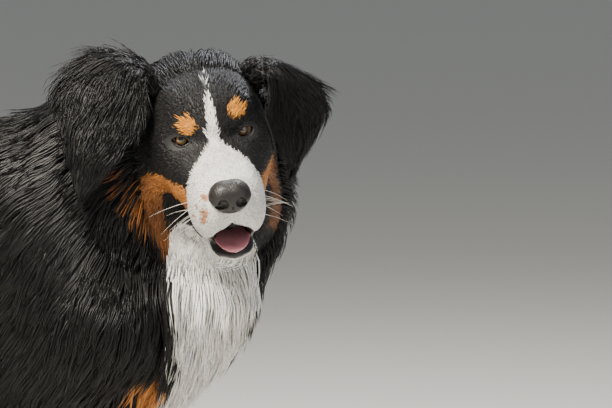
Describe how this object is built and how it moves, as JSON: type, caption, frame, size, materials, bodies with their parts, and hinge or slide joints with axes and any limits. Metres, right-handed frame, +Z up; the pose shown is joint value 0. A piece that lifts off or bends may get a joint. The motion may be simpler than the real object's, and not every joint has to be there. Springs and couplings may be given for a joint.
{
  "type": "bernese mountain dog",
  "caption": "Life-size museum-style model of a standing bernese mountain dog looking round to its right, with a long tricolour coat and an open mouth.",
  "frame": {"origin": "middle of the bounding box in plan, at the level of the soles", "axes": "+X the way the dog's body faces, +Y to its left, +Z up"},
  "size_m": [1.082, 0.368, 0.7536],
  "materials": {
    "black_coat": "long silky black hair with a silvery sheen",
    "white_coat": "short to long white hair",
    "rust_coat": "rust brown hair",
    "nose_leather": "moist pebbled black leather",
    "tongue_skin": "moist mauve pink skin",
    "eye_surface": "glossy amber brown eye"
  },
  "bodies": {
    "root": {"torso": "black_coat", "neck": "black_coat", "head": "black_coat", "jaw": "white_coat", "tongue": "tongue_skin", "nose": "nose_leather", "eye_left": "eye_surface", "eye_right": "eye_surface", "ear_left": "black_coat", "ear_right": "black_coat", "foreleg_left": "rust_coat", "foreleg_right": "rust_coat", "forepaw_left": "white_coat", "forepaw_right": "white_coat", "hindleg_left": "rust_coat", "hindleg_right": "rust_coat", "hindpaw_left": "white_coat", "hindpaw_right": "white_coat", "tail": "black_coat"}
  },
  "joints": []
}
